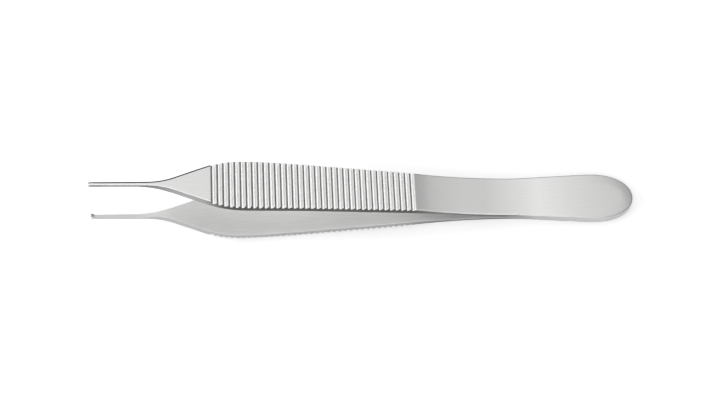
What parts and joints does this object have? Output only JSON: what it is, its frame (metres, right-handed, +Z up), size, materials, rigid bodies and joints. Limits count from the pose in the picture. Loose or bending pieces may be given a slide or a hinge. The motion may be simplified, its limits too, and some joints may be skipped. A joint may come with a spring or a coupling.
{
  "type": "toothed tissue thumb forceps",
  "caption": "Fine-nosed tissue forceps: two steel spring arms welded at the heel, a broad cross-grooved thumb grip, and interlocking teeth at the tips.",
  "frame": {"origin": "middle of the underside of the overall box, on the surface that the forceps lie on", "axes": "+X along the forceps from the tips to the heel, +Y across the arms, +Z up; the forceps lie as they come to rest, on the heel and the grip of the lower arm"},
  "size_m": [0.1202, 0.0114, 0.0184],
  "materials": {
    "satin_steel": "satin, with polished ridges on the grip"
  },
  "bodies": {
    "root": {"upper_arm": "satin_steel", "lower_arm": "satin_steel"}
  },
  "joints": []
}
